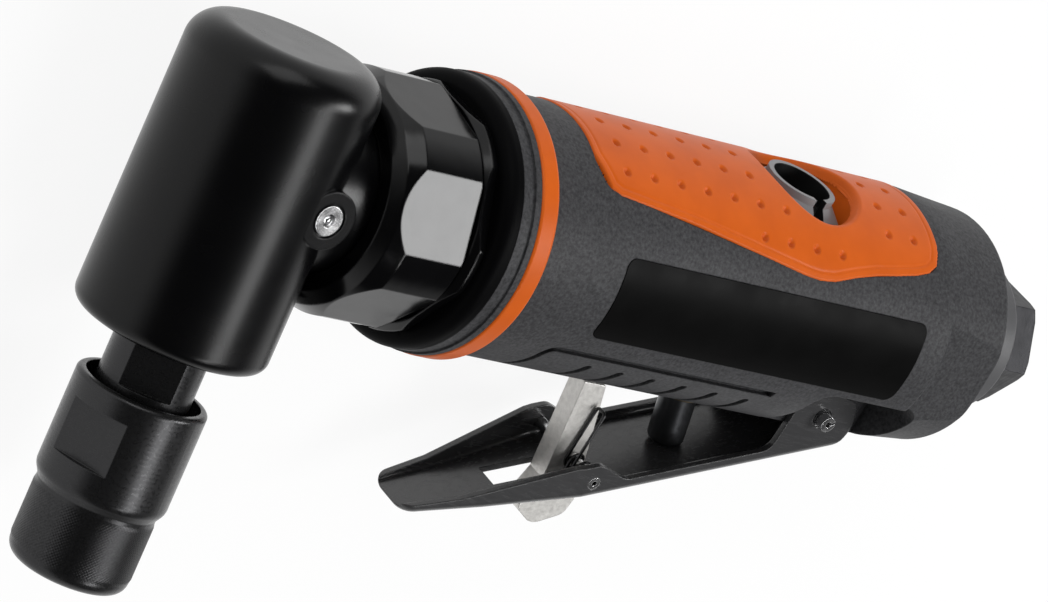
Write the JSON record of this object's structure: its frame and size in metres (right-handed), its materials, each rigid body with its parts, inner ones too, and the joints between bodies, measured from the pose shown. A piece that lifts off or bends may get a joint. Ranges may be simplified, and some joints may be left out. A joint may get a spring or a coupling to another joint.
{
  "type": "right angle air die grinder",
  "caption": "Compact right angle air die grinder with a 6 mm collet, a lock-off throttle lever, a power regulator and an orange overmoulded grip.",
  "frame": {"origin": "centre of the collet's mouth, on the spindle's axis", "axes": "+Y up the spindle's axis towards the head's closed top, +X rearwards along the motor's axis to the air inlet, +Z out of the flank with the bare panel; the tool lies on its other flank"},
  "size_m": [0.1657, 0.0822, 0.0404],
  "materials": {
    "head_black": "satin",
    "nut_black": "gloss",
    "collar_black": "satin",
    "housing_composite": "textured",
    "orange_elastomer": "satin",
    "panel_black": "satin",
    "lever_black": "gloss",
    "oxide_steel": "satin",
    "collet_steel": "satin",
    "bearing_steel": "satin",
    "gear_steel": "satin",
    "motor_steel": "satin",
    "vane_laminate": "matte",
    "bright_pin": "satin",
    "lock_silver": "satin",
    "spring_black": "satin",
    "knob_grey": "satin",
    "inlet_grey": "satin",
    "collar_grey": "satin",
    "valve_brass": "satin",
    "plunger_dark": "satin",
    "seal_rubber": "matte",
    "screen_brass": "satin",
    "felt": "matte"
  },
  "bodies": {
    "tool": {"head_housing": "head_black", "grease_fitting": "bright_pin", "grease_ball": "bright_pin", "spindle_bearing_upper": "bearing_steel", "spindle_bearing_lower": "bearing_steel", "bearing_retainer": "gear_steel", "pinion_bearings": "bearing_steel", "coupling_nut": "nut_black", "lock_ring": "nut_black", "front_collar": "collar_black", "trim_ring": "orange_elastomer", "front_end_plate": "motor_steel", "rear_end_plate": "motor_steel", "cylinder": "motor_steel", "rotor_bearing_front": "bearing_steel", "rotor_bearing_rear": "bearing_steel", "exhaust_collar": "collar_grey", "inlet_bushing": "inlet_grey", "inlet_seal": "seal_rubber", "valve_seal": "seal_rubber", "inlet_screen": "screen_brass", "exhaust_muffler": "felt", "valve_bushing": "valve_brass", "valve_spring": "spring_black", "regulator_pin": "bright_pin", "grip": "orange_elastomer", "name_panel": "panel_black", "housing": "housing_composite", "pivot_pin": "bright_pin"},
    "spindle": {"spindle": "oxide_steel", "bevel_gear": "gear_steel", "collet": "collet_steel", "collet_nut": "oxide_steel"},
    "rotor": {"rotor": "gear_steel", "vanes": "vane_laminate", "pinion": "gear_steel"},
    "throttle_lever": {"throttle_lever": "lever_black", "lock_pin": "bright_pin"},
    "lock_lever": {"lock_lever": "lock_silver", "lock_spring": "spring_black"},
    "valve_stem": {"valve_stem": "plunger_dark", "valve_head": "seal_rubber"},
    "power_regulator": {"power_regulator": "knob_grey", "regulator_seal": "seal_rubber"}
  },
  "joints": [
    {"name": "spindle_spin", "type": "hinge", "parent": "tool", "child": "spindle", "pos_m": [0, 0.062, 0], "axis": [0, 1, 0], "continuous": true},
    {"name": "rotor_spin", "type": "hinge", "parent": "tool", "child": "rotor", "pos_m": [0.062, 0.062, 0], "axis": [1, 0, 0], "continuous": true},
    {"name": "lever_press", "type": "hinge", "parent": "tool", "child": "throttle_lever", "pos_m": [0.1189, 0.04718, -0.00235], "axis": [0, 0.1564, -0.9877], "range_deg": [0, 8], "stiffness_Nm_per_rad": 1.5, "springref_deg": -6.88},
    {"name": "lock_turn", "type": "hinge", "parent": "throttle_lever", "child": "lock_lever", "pos_m": [0.084, 0.02942, -0.00516], "axis": [0, 0.1564, -0.9877], "range_deg": [0, 64]},
    {"name": "valve_lift", "type": "slide", "parent": "tool", "child": "valve_stem", "axis": [-0.2807, 0.948, 0.1501], "range_m": [0, 0.0031], "deforming": ["valve_spring"]},
    {"name": "regulator_turn", "type": "hinge", "parent": "tool", "child": "power_regulator", "pos_m": [0.0973, 0.07188, 0.00156], "axis": [0, 0.9877, 0.1564], "range_deg": [0, 180]}
  ],
  "couplings": [
    {"joint": "rotor_spin", "follows": "spindle_spin", "ratio": 1.3333},
    {"joint": "lock_turn", "follows": "lever_press", "ratio": 8},
    {"joint": "valve_lift", "follows": "lever_press", "m_per_rad": 0.0203}
  ]
}
